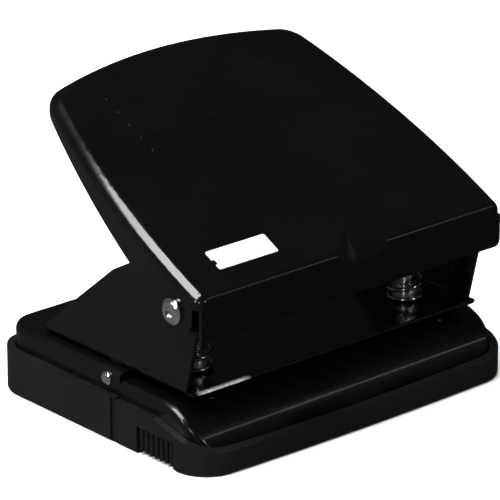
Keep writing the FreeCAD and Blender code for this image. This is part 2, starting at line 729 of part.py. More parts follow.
def make_press_bar():
    """Bracket welded under the lever; its rolled edge pushes both punches."""
    half = cheek_inside - size("press_end_gap")
    roll = size("nose_roll")
    thick = size("press_sheet")
    head_top = base_top + size("punch_lift") + size("punch_length")
    centre = yz(punch_y - size("press_ahead"), head_top + size("press_gap") + roll)
    rolled = rod(roll, centre - X_AXIS * half, X_AXIS, 2 * half)
    hollow = rod(roll - thick, centre - X_AXIS * (half + 1), X_AXIS, 2 * half + 2)
    weld = size("lever_sheet")
    along = (centre.y - roll - lever_front) / math.cos(slope)
    along -= weld * math.tan(slope)
    inner = on_plate(along + thick, weld + thick)
    outer = on_plate(along, weld)
    riser = polyline([
        yz(centre.y - roll, centre.z),
        outer,
        on_plate(along + size("press_flange"), weld),
        on_plate(along + size("press_flange"), weld + thick),
        yz(centre.y - roll + thick, inner.z + (centre.y - roll + thick - inner.y) * math.tan(slope)),
        yz(centre.y - roll + thick, centre.z),
        yz(centre.y - roll, centre.z),
    ])
    return keep("press_bar", rolled.cut(hollow).fuse(side_prism(riser, half)))


def make_label():
    length = "Sizes.label_length / 2"
    width = "Sizes.label_width / 2"
    label = plate("label", "XY_Plane", [
        ("-" + length, "-" + width), (length, "-" + width), (length, width), ("-" + length, width),
    ], "Sizes.label_thick")
    spot = on_plate(size("label_along"), 0, -size("label_at"))
    label.Placement = Placement(spot, Rotation(X_AXIS, size("lever_angle")))
    return label


# ---------------------------------------------------------------- punches and springs
def make_punch(name, side):
    """Punch with a flat head; its tip is hollowed to a blunt vee so that it shears the paper."""
    tip = "-Sizes.punch_head_thick"
    end = "Sizes.punch_length"
    shank = "Sizes.punch_radius"
    body = turned("punch_" + name, [
        ("0", "0.7"), (shank, "0"),
        (shank, "Sizes.punch_length - Sizes.punch_head_thick"),
        ("Sizes.punch_head", "Sizes.punch_length - Sizes.punch_head_thick"),
        ("Sizes.punch_head", end + " - 0.4"), ("Sizes.punch_head - 0.4", end), ("0", end),
    ])
    return place(body, "%d * Sizes.punch_spacing / 2" % side, PUNCH_Y, PUNCH_TIP)


def ring(name, inner, outer, thickness):
    return turned(name, [(inner, "0"), (outer, "0"), (outer, thickness), (inner, thickness)])


def make_spring_seat(name, side):
    seat = ring("spring_seat_" + name, "Sizes.punch_radius + 0.02", "Sizes.seat_radius", "Sizes.seat_thick")
    under_head = PUNCH_TIP + " + Sizes.punch_length - Sizes.punch_head_thick - Sizes.seat_thick"
    return place(seat, "%d * Sizes.punch_spacing / 2" % side, PUNCH_Y, under_head)


def make_spring(name, side):
    """Coil spring between the frame and the punch's spring seat, its ends ground flat."""
    low = web_top
    high = base_top + size("punch_lift") + size("punch_length")
    high -= size("punch_head_thick") + size("seat_thick")
    wire = size("spring_wire")
    radius = size("spring_radius")
    pitch = (high - low) / size("spring_turns")
    coil = Part.makeHelix(pitch, high - low, radius)
    section = Part.Wire(Part.makeCircle(wire / 2, Vector(radius, 0, 0), Y_AXIS))
    spring = Part.Wire(coil).makePipeShell([section], True, True)
    spring = spring.common(block(-FAR, FAR, -FAR, FAR, 0.02, high - low - 0.02))
    piece = keep("spring_" + name, spring)
    piece.Placement = Placement(Vector(side * punch_half, punch_y, low), Rotation())
    return piece


# ---------------------------------------------------------------- small fixed pieces
def make_guide_bushes():
    bushes = []
    for name, side in SIDES:
        bush = ring("guide_bush_" + name, "Sizes.punch_radius + Sizes.punch_play", "Sizes.bush_radius",
                    "Sizes.bush_length")
        bushes.append(place(bush, "%d * Sizes.punch_spacing / 2" % side, PUNCH_Y, BASE_TOP))
    return group("guide_bushes", bushes)


def make_die_strip():
    """Hardened strip under the slot's floor, with a hole for each punch and rivet."""
    half = "(Sizes.punch_spacing / 2 + Sizes.die_margin)"
    near = "-Sizes.die_front"
    far = "Sizes.die_width - Sizes.die_front"
    strip = plate("die_strip", "XY_Plane", [
        ("-" + half, near), (half, near), (half, far), ("-" + half, far),
    ], "Sizes.die_thick")
    for name, x, radius in (
        ("punch", "Sizes.punch_spacing / 2", "Sizes.punch_radius + Sizes.punch_play"),
        ("rivet", "Sizes.die_rivet_at", "Sizes.die_rivet"),
    ):
        drill_pair(strip, name + "_holes", x, radius)
    return place(strip, "0", PUNCH_Y, "Sizes.slot_floor - Sizes.base_sheet - Sizes.die_gap - Sizes.die_thick")


def drill_pair(body, name, x, radius):
    """Two round holes, one each side of the middle, right through a plate on the XY plane."""
    sketch = body.newObject("Sketcher::SketchObject", name + "_sketch")
    sketch.AttachmentSupport = (plane_of(body, "XY_Plane"), [""])
    sketch.MapMode = "FlatFace"
    for index, side in enumerate((-1, 1)):
        spot = Vector(side * sheet_value(x), 0, 0)
        sketch.addGeometry(Part.Circle(spot, Z_AXIS, sheet_value(radius)), False)
        sketch.addConstraint(Constraint("PointOnObject", index, 3, -1))
        place_index = sketch.addConstraint(Constraint("DistanceX", -1, 1, index, 3, spot.x))
        round_index = sketch.addConstraint(Constraint("Radius", index, sheet_value(radius)))
        sketch.setExpression("Constraints[%d]" % place_index, "%d * (%s)" % (side, x))
        sketch.setExpression("Constraints[%d]" % round_index, radius)
    pocket = body.newObject("PartDesign::Pocket", name)
    pocket.Profile = sketch
    pocket.Type = "ThroughAll"
    pocket.Reversed = True
    body.Tip = pocket
    doc.recompute()


def make_die_rivets():
    """Rivets that hold the die strip, filed flush with the slot's floor."""
    rivets = []
    reach = "(Sizes.base_sheet + Sizes.die_gap + Sizes.die_thick)"
    for name, side in SIDES:
        rivet = turned("die_rivet_" + name, [
            ("0", "0"), ("Sizes.die_rivet", "0"), ("Sizes.die_rivet", "-" + reach),
            ("Sizes.die_rivet + 1", "-" + reach), ("Sizes.die_rivet + 0.6", "-%s - 0.8" % reach),
            ("0", "-%s - 0.8" % reach),
        ])
        rivets.append(place(rivet, "%d * Sizes.die_rivet_at" % side, PUNCH_Y, "Sizes.slot_floor"))
    return group("die_rivets", rivets)


def make_pivot_pins():
    """Domed rivets through the lever's ears, clinched inside the frame's cheeks."""
    pins = []
    inside = "-Sizes.frame_sheet"
    outside = "(Sizes.skirt_gap + Sizes.lever_sheet + Sizes.fit)"
    shank = "Sizes.pivot_shank"
    head = "Sizes.pivot_head"
    for name, side in SIDES:
        pin = turned("pivot_pin_" + name, [
            ("0", inside + " - 0.9"), (shank + " + 0.6", inside + " - 0.9"), (shank + " + 0.9", inside),
            (shank, inside), (shank, outside), (head, outside), (head, outside + " + 0.5 * Sizes.pivot_dome"),
            (head + " - 0.9", outside + " + 0.9 * Sizes.pivot_dome"),
            ("1.5", outside + " + Sizes.pivot_dome"),
            ("1.2", outside + " + 0.6 * Sizes.pivot_dome"), ("0", outside + " + 0.6 * Sizes.pivot_dome"),
        ])
        x = "%d * %s" % (side, CHEEK_HALF)
        pins.append(place(pin, x, FRONT + " + Sizes.pivot_setback", PIVOT_Z, facing(side)))
    return group("pivot_pins", pins)


def make_pivot_spacers():
    """Collars that keep the lever's ears off the cheeks."""
    spacers = []
    bore = "Sizes.pivot_shank + 0.05"
    for name, side in SIDES:
        spacer = ring("pivot_spacer_" + name, bore, bore + " + Sizes.collar_wall", "Sizes.skirt_gap - 0.3")
        x = "%d * (%s + 0.1)" % (side, CHEEK_HALF)
        spacers.append(place(spacer, x, FRONT + " + Sizes.pivot_setback", PIVOT_Z, facing(side)))
    return group("pivot_spacers", spacers)


def screw_place(piece, side):
    y = PUNCH_Y + " + Sizes.stop_depth + Sizes.screw_setback"
    return place(piece, "%d * %s" % (side, SHELL_HALF), y, BASE_TOP + " - Sizes.screw_drop", facing(side))


def make_side_screws():
    """Screws through the base's sides into the frame's tongues."""
    screws = []
    shank = "Sizes.screw_shank"
    head = "Sizes.screw_head"
    tail = "-(Sizes.cheek_inset + Sizes.frame_sheet + Sizes.nut_thick + 0.6)"
    for name, side in SIDES:
        screw = turned("side_screw_" + name, [
            ("0", tail), (shank, tail), (shank, "0"), (head, "0"), (head, "0.5"),
            (head + " - 0.6", "0.95"), ("0", "1.1"),
        ])
        screws.append(screw_place(screw, side))
    return group("side_screws", screws)


def make_side_nuts():
    """Square nuts behind the frame's tongues."""
    nuts = []
    for name, side in SIDES:
        nut = doc.addObject("Part::Box", "side_nut_block_" + name)
        for edge in ("Length", "Width"):
            nut.setExpression(edge, "Sizes.nut_side")
        nut.setExpression("Height", "Sizes.nut_thick")
        nut.Placement = Placement(Vector(), facing(-side))
        half = "Sizes.nut_side / 2"
        nut.setExpression("Placement.Base.x", "%d * (%s - Sizes.frame_sheet)" % (side, CHEEK_HALF))
        y = PUNCH_Y + " + Sizes.stop_depth + Sizes.screw_setback - " + half
        nut.setExpression("Placement.Base.y", y)
        z = "%s - Sizes.screw_drop %s %s" % (BASE_TOP, "-" if side > 0 else "+", half)
        nut.setExpression("Placement.Base.z", z)
        bore = doc.addObject("Part::Cylinder", "side_nut_bore_" + name)
        bore.setExpression("Radius", "Sizes.screw_shank")
        bore.setExpression("Height", "Sizes.nut_thick * 3")
        bore.Placement = Placement(Vector(), facing(-side))
        bore.setExpression("Placement.Base.x", "%d * (%s - Sizes.frame_sheet + 1)" % (side, CHEEK_HALF))
        bore.setExpression("Placement.Base.y", PUNCH_Y + " + Sizes.stop_depth + Sizes.screw_setback")
        bore.setExpression("Placement.Base.z", BASE_TOP + " - Sizes.screw_drop")
        drilled = doc.addObject("Part::Cut", "side_nut_" + name)
        drilled.Base = nut
        drilled.Tool = bore
        nuts.append(drilled)
    return group("side_nuts", nuts)


# ---------------------------------------------------------------- sliding paper guide
GUIDE_FRONT = FRONT + " + Sizes.guide_setback + 1.4"


def make_guide_bar():
    bar = doc.addObject("Part::Box", "guide_bar")
    inside = SHELL_HALF + " - Sizes.base_sheet - Sizes.guide_gap"
    bar.setExpression("Length", inside + " + Sizes.tray_width / 2 - Sizes.guide_gap - Sizes.grip_thick")
    bar.setExpression("Width", "Sizes.guide_bar_width")
    bar.setExpression("Height", "Sizes.guide_bar_thick")
    bar.setExpression("Placement.Base.x", "-Sizes.tray_width / 2 + Sizes.guide_gap + Sizes.grip_thick")
    bar.setExpression("Placement.Base.y", GUIDE_FRONT)
    bar.setExpression("Placement.Base.z", "Sizes.tray_floor + Sizes.guide_rail + 0.05")
    bar.Label = "guide_bar"
    return bar


def make_guide_grip():
    """Ribbed grip that stops the paper's edge when the guide is drawn out."""
    x0 = -size("tray_width") / 2 + size("guide_gap")
    y0 = front + size("guide_setback") + 0.4
    length = size("guide_notch") - 0.8
    pitch = length / size("grip_teeth")
    x1 = x0 + size("grip_thick")
    low = size("grip_base")
    high = size("guide_notch_top") - 0.4
    rib = 0.7
    grip = block(x0 + rib, x1, y0, y0 + length, low, high)
    for i in range(int(size("grip_teeth"))):
        middle = y0 + (i + 0.5) * pitch
        grip = grip.fuse(rod(rib, Vector(x0 + rib, middle, low), Z_AXIS, high - low))
    return keep("guide_grip", grip)


# ---------------------------------------------------------------- the whole punch
def build():
    pieces = [make_tray(), make_base_shell(), make_frame(), make_lever(), make_press_bar(), make_label()]
    for name, side in SIDES:
        pieces += [make_punch(name, side), make_spring_seat(name, side), make_spring(name, side)]
    pieces += [
        make_guide_bushes(), make_die_strip(), make_die_rivets(), make_pivot_pins(), make_pivot_spacers(),
        make_side_screws(), make_side_nuts(), make_guide_bar(), make_guide_grip(),
    ]
    doc.recompute()
    return pieces


def check(pieces):
    for item in doc.Objects:
        if "Invalid" in item.State or "Error" in item.State:
            raise RuntimeError("%s failed to build: %s" % (item.Name, item.State))
    for piece in pieces:
        if piece.Shape.isNull() or not piece.Shape.isValid() or not piece.Shape.Solids:
            raise RuntimeError("%s has no sound shape" % piece.Label)


def export(pieces):
    os.makedirs("parts", exist_ok=True)
    for piece in pieces:
        piece.Shape.exportStep(os.path.join("parts", piece.Label + ".step"))
        print("%-22s %d solid(s) %10.1f mm3" % (piece.Label, len(piece.Shape.Solids), piece.Shape.Volume))


pieces = build()
check(pieces)
export(pieces)
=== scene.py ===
"""Looks of a two-hole desk punch: paints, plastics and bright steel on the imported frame.

The pressed and turned pieces come from the frame and get their finishes here. The return
springs and the label are modelled here, and a stage with soft lights is set round the punch.
"""

import math

import bpy
from bpy.props import FloatProperty, FloatVectorProperty, IntProperty, PointerProperty
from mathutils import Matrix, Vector


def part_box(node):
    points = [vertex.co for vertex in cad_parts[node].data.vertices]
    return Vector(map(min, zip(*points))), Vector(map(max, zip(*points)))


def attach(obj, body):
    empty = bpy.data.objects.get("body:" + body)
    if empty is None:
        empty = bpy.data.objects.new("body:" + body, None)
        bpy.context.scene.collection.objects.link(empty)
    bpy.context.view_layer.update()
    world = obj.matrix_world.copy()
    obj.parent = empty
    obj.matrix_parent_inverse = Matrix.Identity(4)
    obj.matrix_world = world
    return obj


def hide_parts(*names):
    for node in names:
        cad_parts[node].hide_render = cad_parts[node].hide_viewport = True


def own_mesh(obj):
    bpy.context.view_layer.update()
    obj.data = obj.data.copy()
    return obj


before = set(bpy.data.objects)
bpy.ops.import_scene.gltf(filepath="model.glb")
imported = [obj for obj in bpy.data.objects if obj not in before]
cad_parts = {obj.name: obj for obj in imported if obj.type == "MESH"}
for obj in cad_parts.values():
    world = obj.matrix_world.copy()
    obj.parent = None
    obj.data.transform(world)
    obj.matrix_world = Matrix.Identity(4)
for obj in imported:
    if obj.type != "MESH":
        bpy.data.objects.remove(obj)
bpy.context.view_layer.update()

bl_info = {
    "name": "Desk punch looks",
    "version": (1, 0, 0),
    "blender": (4, 5, 0),
    "location": "View3D > Sidebar > Punch",
    "description": "Finishes, springs, label and studio for a two-hole desk punch",
    "category": "Object",
}

SIDES = ("left", "right")

# Spring making
TOUCHING = 1.02  # pitch of touching turns, in wire thicknesses
GROUND_OFF = 0.02  # share of the wire's thickness ground off each end
WIRE_ROUNDNESS = 5
PATH_ORDER = 3
CREASE_ANGLE = 40.0  # degrees; a sharper fold stays an edge

# Label making
CORNER_STEPS = 5
NICK_STEPS = 40

# Softness of the ends of the painted highlight along the web's front edge, as a share of its reach
HIGHLIGHT_FADE = 0.2

# The Mix node's sockets: two numbers or two colours go in, and one of its outputs is read
MIX_FACTOR = 0
NUMBER_A, NUMBER_B, NUMBER_OUT = 2, 3, 0
COLOUR_A, COLOUR_B, COLOUR_OUT = 6, 7, 2

# Studio
SENSOR_WIDTH = 36.0  # millimetres
PALE_SIDE = (-0.75, 0.20, -0.60)  # direction in which the surroundings grow paler
PALE_START, PALE_END = -0.2, 1.0  # how squarely a reflection faces it, from dark to pale
# name, direction from the punch, distance, width, height, and the setting that holds its watts
LAMPS = (
    ("flood", (0.0, 0.0, 1.0), 2.6, 3.4, 3.4, "flood"),
    ("left_strip", (-0.42, 0.12, 0.90), 1.4, 0.50, 1.5, "left_strip"),
    ("front_strip", (0.61, -0.62, 0.49), 1.4, 0.30, 0.05, "front_strip"),
    ("spot_0", (-0.80, -0.52, 0.30), 1.2, 0.14, 0.14, "spots"),
    ("spot_1", (-0.93, 0.10, 0.34), 1.2, 0.14, 0.14, "spots"),
    ("spot_2", (0.15, -0.93, 0.34), 1.2, 0.14, 0.14, "spots"),
)


# ---------------------------------------------------------------- sizes and colours
def number(name, description, default):
    return FloatProperty(name=name, description=description, default=default)


def length(name, description, default):
    return FloatProperty(name=name, description=description, default=default,
                         subtype="DISTANCE", unit="LENGTH")


def point(name, description, default):
    return FloatVectorProperty(name=name, description=description, default=default,
                               subtype="XYZ", unit="LENGTH", size=3)


def paint(name, description, default):
    return FloatVectorProperty(name=name, description=description, default=default,
                               subtype="COLOR", size=3, min=0.0, max=1.0)


class SpringSizes(bpy.types.PropertyGroup):
    """Return springs round the punches."""
    wire: length("Wire", "Thickness of the spring wire", 0.0013)
    open_turns: number("Open turns", "Turns between the closed ends", 3.6)
    closed_turns: number("Closed turns", "Turns that touch at each end", 1.2)
    steps: IntProperty(name="Steps", description="Points on each turn", default=40)
    pressed: number("Pressed", "Share of its length left when pressed", 0.785)


class LabelSizes(bpy.types.PropertyGroup):
    """Blank label on the lever."""
    nick: length("Nick", "Radius of the round nick in the left edge", 0.0010)
    nick_offset: length("Nick offset", "From the label's middle towards the front", 0.0007)
    corner: length("Corner", "Radius of the corners", 0.0005)
    thick: length("Thickness", "Thickness of the label stock", 0.00025)


class HighlightEdgeSizes(bpy.types.PropertyGroup):
    """Where a painted highlight, in steel grey, lies along the front edge of the frame's web."""
    middle: point("Middle", "Middle of the rubbed stretch", (-0.0418, -0.0350, 0.0214))
    reach: point("Reach", "Half the rubbed stretch along each axis", (0.0083, 0.0007, 0.0007))


class StudioSizes(bpy.types.PropertyGroup):
    """Camera, floor and lights."""
    turn: number("Turn", "Camera's direction round the punch, degrees", -41.046)
    height: number("Height", "Camera's height over the floor, degrees", 21.41)
    distance: length("Distance", "Camera to the punch", 1.2773)
    lens: number("Lens", "Focal length, millimetres", 323.35)
    aim: point("Aim", "Point that the camera and the lights face", (-0.0017, 0.0002, 0.0404))
    floor: length("Floor", "Side of the floor", 14.0)
    flood: number("Flood", "Watts of the flood light over the floor", 95.0)
    left_strip: number("Left strip", "Watts of the light on the left", 40.0)
    front_strip: number("Front strip", "Watts of the light at the front", 0.14)
    spots: number("Spots", "Watts of each small light for the metal parts", 1.6)
    air_dark: number("Dark air", "Surroundings in most reflections", 0.025)
    air_pale: number("Pale air", "Surroundings at the lower left", 0.16)


class PunchColours(bpy.types.PropertyGroup):
    """Colours of the paints, plastics and metals."""
    enamel: paint("Enamel", "Stove enamel on the pressed steel", (0.0016, 0.0013, 0.0015))
    # Steel grey for the painted highlight along the front edge of the frame's web
    highlight_grey: paint("Bare edge", "Steel where the enamel is rubbed through", (0.62, 0.62, 0.62))
    tray: paint("Tray", "Moulded plastic of the chip tray", (0.0042, 0.0035, 0.0038))
    zinc: paint("Zinc", "Plated small parts", (0.62, 0.62, 0.60))
    steel: paint("Steel", "Ground steel of the punches", (0.60, 0.60, 0.59))
    wire: paint("Wire", "Spring wire", (0.34, 0.34, 0.35))
    chrome: paint("Chrome", "Rivets and screws", (0.82, 0.82, 0.82))
    label: paint("Label", "Label", (0.60, 0.62, 0.66))
    floor: paint("Floor", "Floor of the studio", (0.86, 0.86, 0.86))


# ---------------------------------------------------------------- material building
class Finish:
    """A new material: its shader, and short ways to add nodes to it."""

    def __init__(self, name, colour, roughness, **inputs):
        self.material = bpy.data.materials.new(name)
        self.material.use_nodes = True
        self.tree = self.material.node_tree
        self.shader = self.tree.nodes["Principled BSDF"]
        self.place = self.add("ShaderNodeTexCoord").outputs["Object"]
        self.set(self.shader, "Base Color", (*colour, 1.0))
        self.set(self.shader, "Roughness", roughness)
        for socket, value in inputs.items():
            self.set(self.shader, socket.replace("_", " "), value)

    def add(self, kind, **settings):
        node = self.tree.nodes.new(kind)
        for key, value in settings.items():
            setattr(node, key, value)
        return node

    def set(self, node, socket, value):
        if isinstance(value, bpy.types.NodeSocket):
            self.tree.links.new(value, node.inputs[socket])
        else:
            node.inputs[socket].default_value = value

    def stretched(self, scale):
        """Object coordinates scaled differently along each axis."""
        mapping = self.add("ShaderNodeMapping")
        self.set(mapping, "Vector", self.place)
        self.set(mapping, "Scale", scale)
        return mapping.outputs["Vector"]

    def noise(self, scale, detail=3.0, place=None, roughness=0.5):
        node = self.add("ShaderNodeTexNoise")
        self.set(node, "Vector", place or self.place)
        self.set(node, "Scale", scale)
        self.set(node, "Detail", detail)
        self.set(node, "Roughness", roughness)
        return node.outputs["Fac"]

    def cells(self, scale):
        node = self.add("ShaderNodeTexVoronoi")
        self.set(node, "Vector", self.place)
        self.set(node, "Scale", scale)
        return node.outputs["Distance"]

    def between(self, factor, low, high, start=0.35, end=0.65):
        """A number that runs from low to high as a factor runs from start to end."""
        node = self.add("ShaderNodeMapRange")
        for socket, value in (("Value", factor), ("From Min", start), ("From Max", end),
                              ("To Min", low), ("To Max", high)):
            self.set(node, socket, value)
        return node.outputs["Result"]

    def mix(self, factor, first, second):
        """A colour between two others, each given as a colour or as a node's output."""
        node = self.add("ShaderNodeMix", data_type="RGBA")
        self.set(node, MIX_FACTOR, factor)
        for socket, colour in ((COLOUR_A, first), (COLOUR_B, second)):
            linked = isinstance(colour, bpy.types.NodeSocket)
            self.set(node, socket, colour if linked else (*colour, 1.0))
        return node.outputs[COLOUR_OUT]

    def math(self, operation, first, second):
        node = self.add("ShaderNodeMath", operation=operation)
        self.set(node, 0, first)
        self.set(node, 1, second)
        return node.outputs[0]

    def bump(self, height, depth, distance, over=None):
        node = self.add("ShaderNodeBump")
        self.set(node, "Height", height)
        self.set(node, "Strength", depth)
        self.set(node, "Distance", distance)
        if over is not None:
            self.set(node, "Normal", over)
        return node.outputs["Normal"]

    def vary(self, pattern, colour, darker, lighter, smoothest, roughest):
        """Lets a pattern run the colour from dark to light and the surface from smooth to rough."""
        dark, light = shade(colour, darker), shade(colour, lighter)
        self.set(self.shader, "Base Color", self.mix(pattern, dark, light))
        self.set(self.shader, "Roughness", self.between(pattern, smoothest, roughest))

    def relief(self, normal):
        self.set(self.shader, "Normal", normal)


def shade(colour, factor):
    return tuple(min(1.0, channel * factor) for channel in colour)


def enamel(name, colour, roughness):
    """Stove enamel on pressed steel: deep gloss, faint orange peel and a few dust nibs."""
    finish = Finish(name, colour, roughness, Specular_IOR_Level=0.30, Coat_Weight=0.25,
                    Coat_Roughness=0.04)
    cloud = finish.noise(scale=38.0, detail=4.0)
    finish.vary(cloud, colour, darker=0.75, lighter=1.5,
                smoothest=roughness * 0.8, roughest=roughness * 1.3)
    peel = finish.bump(finish.noise(scale=320.0, detail=1.0), depth=0.02, distance=0.0006)
    nibs = finish.between(finish.cells(scale=300.0), low=1.0, high=0.0, start=0.0, end=0.05)
    finish.relief(finish.bump(nibs, depth=0.03, distance=0.0002, over=peel))
    return finish


def paint_edge_highlight(finish, highlight_grey, centre, half):
    """Paints a highlight in steel grey over a finish inside a small box round centre, with noisy,
    softened ends.
    """
    axes = finish.add("ShaderNodeSeparateXYZ")
    finish.set(axes, "Vector", finish.place)
    highlit = finish.between(finish.noise(scale=900.0, detail=3.0), low=0.55, high=1.0)
    for i, axis in enumerate("XYZ"):
        offset = finish.math("SUBTRACT", axes.outputs[axis], centre[i])
        away = finish.math("ABSOLUTE", offset, 0.0)
        inside = finish.between(away, low=1.0, high=0.0,
                                start=half[i] * (1 - HIGHLIGHT_FADE), end=half[i] * (1 + HIGHLIGHT_FADE))
        highlit = finish.math("MULTIPLY", highlit, inside)
    # Painted highlight: the steel grey is mixed over the enamel inside the box
    paint_colour = finish.shader.inputs["Base Color"].links[0].from_socket
    finish.set(finish.shader, "Base Color", finish.mix(highlit, paint_colour, highlight_grey))


def moulded(name, colour, roughness):
    """Moulded plastic: fine spark-eroded texture, slightly uneven sheen."""
    finish = Finish(name, colour, roughness, Specular_IOR_Level=0.38)
    cloud = finish.noise(scale=55.0, detail=5.0)
    finish.vary(cloud, colour, darker=0.8, lighter=1.6,
                smoothest=roughness - 0.05, roughest=roughness + 0.07)
    grain = finish.bump(finish.noise(scale=2600.0, detail=2.0), depth=0.22, distance=0.00012)
    waves = finish.noise(scale=140.0, detail=2.0)
    finish.relief(finish.bump(waves, depth=0.05, distance=0.0008, over=grain))
    return finish.material


def plated(name, colour, roughness):
    """Zinc plate: mottled and slightly cloudy."""
    finish = Finish(name, colour, roughness, Metallic=1.0)
    blotch = finish.noise(scale=420.0, detail=5.0)
    finish.vary(blotch, colour, darker=0.72, lighter=1.08,
                smoothest=roughness - 0.08, roughest=roughness + 0.12)
    finish.relief(finish.bump(finish.noise(scale=1900.0, detail=3.0), depth=0.1, distance=0.0001))
    return finish.material


def ground(name, colour, roughness, along):
    """Ground or drawn steel with fine lines square to its axis."""
    finish = Finish(name, colour, roughness, Metallic=1.0)
    lines = finish.noise(scale=900.0, detail=3.0, place=finish.stretched(along))
    finish.vary(lines, colour, darker=0.7, lighter=1.1,
                smoothest=roughness - 0.05, roughest=roughness + 0.14)
    finish.relief(finish.bump(lines, depth=0.12, distance=0.0001))
    return finish.material


def polished(name, colour, roughness):
    """Bright plating with small dents and the odd hairline."""
    finish = Finish(name, colour, roughness, Metallic=1.0)
    haze = finish.noise(scale=260.0, detail=4.0)
    finish.vary(haze, colour, darker=0.86, lighter=1.04, smoothest=roughness, roughest=roughness + 0.1)
    dents = finish.bump(finish.noise(scale=700.0, detail=1.0), depth=0.55, distance=0.0005)
    scratches = finish.noise(scale=800.0, detail=2.0, place=finish.stretched((1.0, 6.0, 1.0)))
    finish.relief(finish.bump(scratches, depth=0.05, distance=0.0001, over=dents))
    return finish.material


def sticker(name, colour, roughness):
    """Coated white label stock."""
    finish = Finish(name, colour, roughness, Coat_Weight=0.4, Coat_Roughness=0.12)
    fibre = finish.noise(scale=900.0, detail=4.0)
    finish.vary(fibre, colour, darker=0.95, lighter=1.04, smoothest=0.26, roughest=0.40)
    finish.relief(finish.bump(fibre, depth=0.04, distance=0.0001))
    return finish.material


def wear(node, material):
    """Gives a frame node, or a new piece, its finish."""
    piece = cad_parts[node] if isinstance(node, str) else node
    piece.data.materials.clear()
    piece.data.materials.append(material)


# ---------------------------------------------------------------- modelling helpers
def nothing_selected():
    if bpy.context.object and bpy.context.object.mode != "OBJECT":
        bpy.ops.object.mode_set(mode="OBJECT")
    bpy.ops.object.select_all(action="DESELECT")


def only(piece):
    nothing_selected()
    piece.select_set(True)
    bpy.context.view_layer.objects.active = piece


def settle(piece):
    """Puts a finished piece's place into its mesh."""
    only(piece)
    bpy.ops.object.transform_apply(location=True, rotation=True, scale=True)


# ---------------------------------------------------------------- springs
def spring_height(turn, sizes, rise):
    """How far up the coil has climbed after so many turns: closed, open, closed."""
    closed = sizes.closed_turns
    total = 2 * closed + sizes.open_turns
    tight = sizes.wire * TOUCHING
    loose = (rise - 2 * closed * tight) / sizes.open_turns
    if turn < closed:
        return turn * tight
    if turn > total - closed:
        return rise - (total - turn) * tight
    return closed * tight + (turn - closed) * loose


def coil(name, centre, low, high, radius, sizes):
    """A wire wound in a helix, its ends ground flat."""
    total = 2 * sizes.closed_turns + sizes.open_turns
    count = int(total * sizes.steps)
    rise = high - low
    curve = bpy.data.curves.new(name, "CURVE")
    curve.dimensions = "3D"
    curve.bevel_depth = sizes.wire / 2
    curve.bevel_resolution = WIRE_ROUNDNESS
    curve.use_fill_caps = True
    path = curve.splines.new("NURBS")
    path.points.add(count)
    for i, point in enumerate(path.points):
        turn = total * i / count
        angle = 2 * math.pi * turn
        height = low + spring_height(turn, sizes, rise)
        point.co = (centre.x + radius * math.cos(angle), centre.y + radius * math.sin(angle),
                    height, 1.0)
    path.order_u = PATH_ORDER
    path.use_endpoint_u = True
    spring = bpy.data.objects.new(name, curve)
    bpy.context.scene.collection.objects.link(spring)
    only(spring)
    bpy.ops.object.convert(target="MESH")
    lost = sizes.wire * GROUND_OFF
    for height, below in ((low + lost, True), (high - lost, False)):
        only(spring)
        bpy.ops.object.mode_set(mode="EDIT")
        bpy.ops.mesh.select_all(action="SELECT")
        bpy.ops.mesh.bisect(plane_co=(0, 0, height), plane_no=(0, 0, 1), use_fill=True,
                            clear_inner=below, clear_outer=not below)
        bpy.ops.object.mode_set(mode="OBJECT")
    bpy.ops.object.shade_smooth_by_angle(angle=math.radians(CREASE_ANGLE))
    return spring


class PUNCH_OT_springs(bpy.types.Operator):
    """Model both return springs with closed, ground ends"""
    bl_idname = "punch.springs"
    bl_label = "Return springs"

    def execute(self, context):
        sizes = context.scene.punch_springs
        finish = ground("spring_wire", context.scene.punch_colours.wire, roughness=0.14,
                        along=(1.0, 1.0, 5.0))
        for side in SIDES:
            low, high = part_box("spring_" + side)
            centre = (Vector(low) + Vector(high)) / 2
            radius = (high[0] - low[0] - sizes.wire) / 2
            spring = coil("return_spring_" + side, centre, low[2], high[2], radius, sizes)
            wear(spring, finish)
            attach(spring, "base")
            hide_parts("spring_" + side)
            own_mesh(spring)
        return {"FINISHED"}


# ---------------------------------------------------------------- finishes on the frame's own nodes
class PUNCH_OT_steelwork(bpy.types.Operator):
    """Enamel the lever, the frame and the base"""
    bl_idname = "punch.steelwork"
    bl_label = "Pressed steel"

    def execute(self, context):
        colours = context.scene.punch_colours
        colour = colours.enamel
        wear("lever_shell", enamel("lever_enamel", colour, roughness=0.17).material)
        wear("press_bar", enamel("bar_enamel", colour, roughness=0.2).material)
        wear("base_shell", enamel("base_enamel", colour, roughness=0.26).material)
        frame_enamel = enamel("frame_enamel", colour, roughness=0.17)
        # A painted highlight in steel grey along the front edge of the frame's web
        edge = context.scene.punch_edge
        paint_edge_highlight(frame_enamel, colours.highlight_grey, edge.middle, edge.reach)
        wear("frame", frame_enamel.material)
        return {"FINISHED"}


class PUNCH_OT_plastics(bpy.types.Operator):
    """Finish the chip tray, the paper guide and the pivot collars"""
    bl_idname = "punch.plastics"
    bl_label = "Plastics"

    def execute(self, context):
        colour = context.scene.punch_colours.tray
        wear("chip_tray", moulded("tray_plastic", colour, roughness=0.36))
        guide = moulded("guide_plastic", shade(colour, 0.8), roughness=0.42)
        for node in ("guide_bar", "guide_grip", "pivot_spacers"):
            wear(node, guide)
        return {"FINISHED"}


class PUNCH_OT_metals(bpy.types.Operator):
    """Finish the punches, bushes, rivets, screws and nuts"""
    bl_idname = "punch.metals"
    bl_label = "Bright metal"

    def execute(self, context):
        colours = context.scene.punch_colours
        zinc = plated("zinc_plate", colours.zinc, roughness=0.34)
        for node in ("guide_bushes", "die_strip", "die_rivets", "side_nuts", "spring_seat_left",
                     "spring_seat_right"):
            wear(node, zinc)
        steel = ground("punch_steel", colours.steel, roughness=0.20, along=(1.0, 1.0, 7.0))
        for side in SIDES:
            wear("punch_" + side, steel)
        chrome = polished("rivet_chrome", colours.chrome, roughness=0.05)
        for node in ("pivot_pins", "side_screws"):
            wear(node, chrome)
        return {"FINISHED"}


